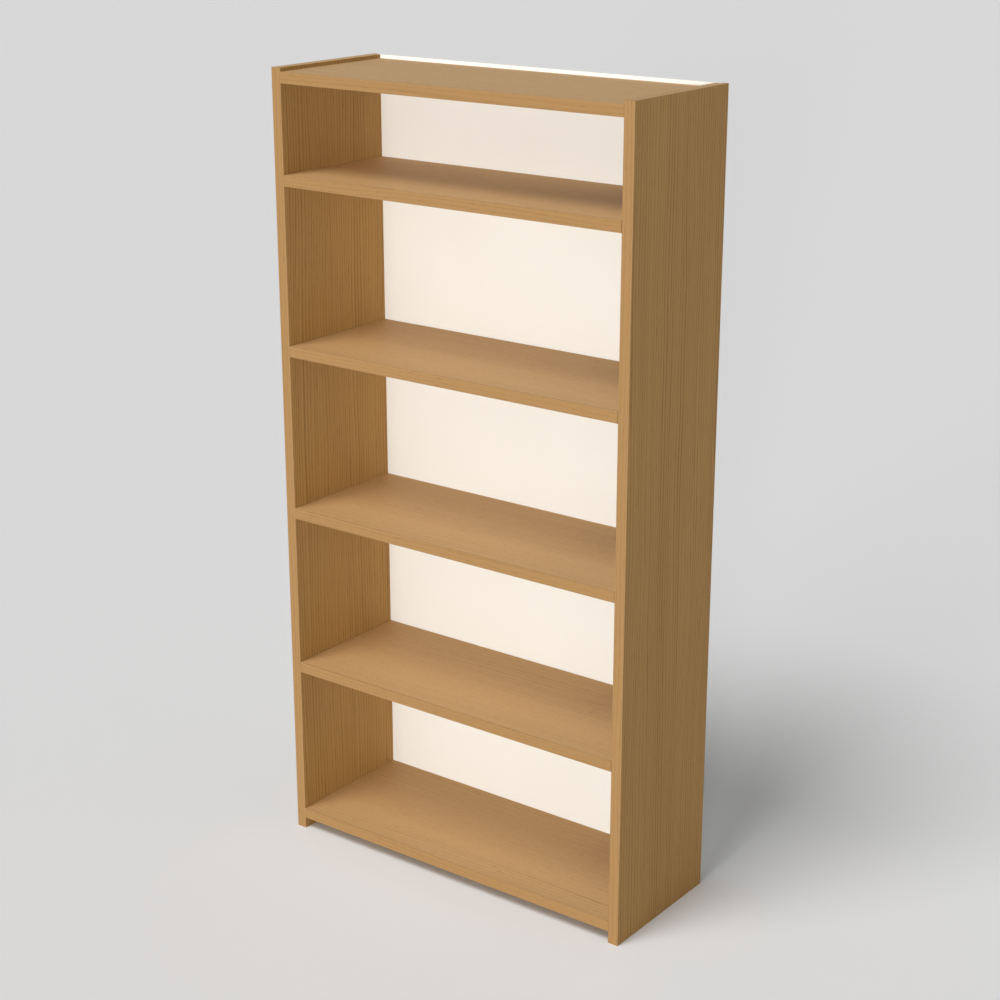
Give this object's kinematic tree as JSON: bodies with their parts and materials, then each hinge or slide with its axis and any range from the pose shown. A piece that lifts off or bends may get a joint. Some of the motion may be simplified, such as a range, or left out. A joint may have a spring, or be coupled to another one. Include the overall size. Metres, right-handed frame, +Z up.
{
  "type": "open bookcase",
  "caption": "Tall open-fronted oak bookcase with a cream back, boards fixed by cam fittings and loose shelves on pins that draw out to the front.",
  "frame": {"origin": "middle of the footprint on the floor", "axes": "+Z up, +X to the right seen from the front, +Y to the rear"},
  "size_m": [0.925, 0.34, 1.8],
  "materials": {
    "oak_board": "satin lacquer, straight grain",
    "oak_edge": "satin lacquer, eased corners",
    "cream_back": "matt cream lacquer",
    "steel": "bright zinc plate",
    "zinc": "die-cast zinc",
    "beech": "raw"
  },
  "bodies": {
    "case": {"left_side": "oak_board", "left_side_edge": "oak_edge", "right_side": "oak_board", "right_side_edge": "oak_edge", "top_panel": "oak_board", "top_panel_edge": "oak_edge", "shelf_3": "oak_board", "shelf_3_edge": "oak_edge", "bottom_panel": "oak_board", "bottom_panel_edge": "oak_edge", "back_panel": "cream_back", "cam_locks_top": "zinc", "cam_bolts_top": "steel", "dowels_top": "beech", "cam_locks_middle": "zinc", "cam_bolts_middle": "steel", "dowels_middle": "beech", "cam_locks_bottom": "zinc", "cam_bolts_bottom": "steel", "dowels_bottom": "beech", "shelf_1_pins": "steel", "shelf_2_pins": "steel", "shelf_4_pins": "steel", "back_screws": "steel"},
    "shelf_1": {"shelf_1": "oak_board", "shelf_1_edge": "oak_edge"},
    "shelf_2": {"shelf_2": "oak_board", "shelf_2_edge": "oak_edge"},
    "shelf_4": {"shelf_4": "oak_board", "shelf_4_edge": "oak_edge"}
  },
  "joints": [
    {"name": "shelf_1_slide", "type": "slide", "parent": "case", "child": "shelf_1", "axis": [0, -1, 0], "range_m": [0, 0.335]},
    {"name": "shelf_2_slide", "type": "slide", "parent": "case", "child": "shelf_2", "axis": [0, -1, 0], "range_m": [0, 0.335]},
    {"name": "shelf_4_slide", "type": "slide", "parent": "case", "child": "shelf_4", "axis": [0, -1, 0], "range_m": [0, 0.335]}
  ]
}
